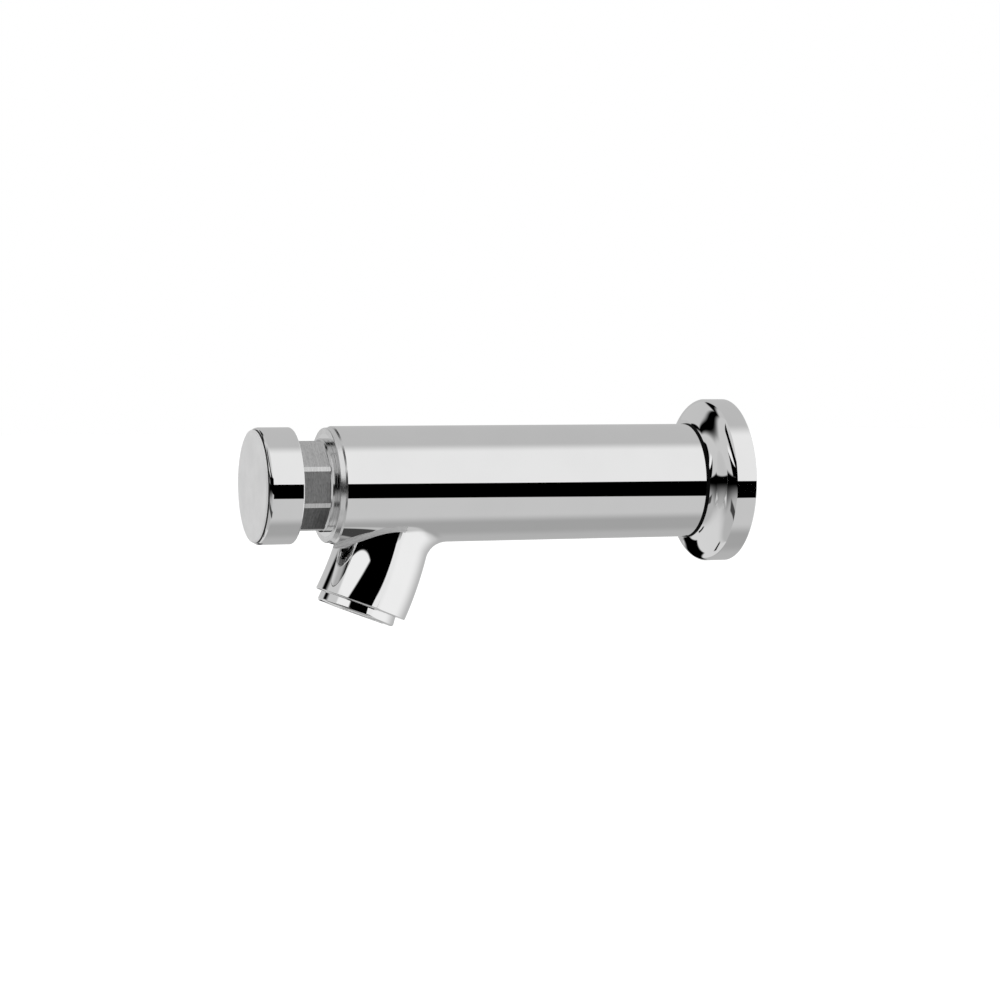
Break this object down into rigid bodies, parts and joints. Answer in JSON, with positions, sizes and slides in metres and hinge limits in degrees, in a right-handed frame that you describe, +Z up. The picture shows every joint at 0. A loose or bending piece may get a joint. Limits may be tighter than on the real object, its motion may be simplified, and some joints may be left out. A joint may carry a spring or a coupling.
{
  "type": "push timed tap",
  "caption": "Wall-mounted push timed tap: a round tube with a sliding wall flange, a short leaning spout with an aerator, and a sprung push button on an octagonal neck.",
  "frame": {"origin": "centre of the inlet thread's mouth, in the wall plane at the flange's back", "axes": "tap axis along Y: -Y from the wall to the button, +Y out of the inlet into the wall; +Z up, so the spout points down"},
  "size_m": [0.0502, 0.1516, 0.0671],
  "materials": {
    "polished_chrome": "polished chrome plate",
    "turned_metal": "turned, satin",
    "satin_face": "fine satin",
    "brass": "turned",
    "steel": "drawn stainless",
    "rubber": "moulded",
    "white_plastic": "moulded",
    "grey_plastic": "moulded"
  },
  "bodies": {
    "valve_body": {"body": "polished_chrome", "aerator_ring": "polished_chrome", "bonnet": "turned_metal", "inlet_strainer": "steel", "spring_seat": "steel", "return_spring": "steel", "aerator_screen": "steel", "inlet_washer": "rubber", "regulator_ring": "rubber", "cage_seal": "rubber", "bonnet_seal": "rubber", "stem_seals": "rubber", "aerator_washer": "rubber", "flow_regulator": "white_plastic", "valve_cage": "white_plastic", "aerator_insert": "white_plastic"},
    "plunger": {"button": "polished_chrome", "button_cover": "satin_face", "button_screw": "steel", "stem": "brass", "timing_piston": "grey_plastic", "piston_lip_seal": "rubber", "piston_circlip": "steel", "bleed_pin": "steel", "valve_head": "brass", "valve_washer": "rubber", "valve_nut": "brass"},
    "flange": {"wall_flange": "polished_chrome", "flange_grip_ring": "rubber"}
  },
  "joints": [
    {"name": "button_press", "type": "slide", "parent": "valve_body", "child": "plunger", "axis": [0, 1, 0], "range_m": [0, 0.007], "stiffness_N_per_m": 900, "springref_m": -0.008, "deforming": ["return_spring"]},
    {"name": "flange_slide", "type": "slide", "parent": "valve_body", "child": "flange", "axis": [0, -1, 0], "range_m": [0, 0.06]}
  ]
}
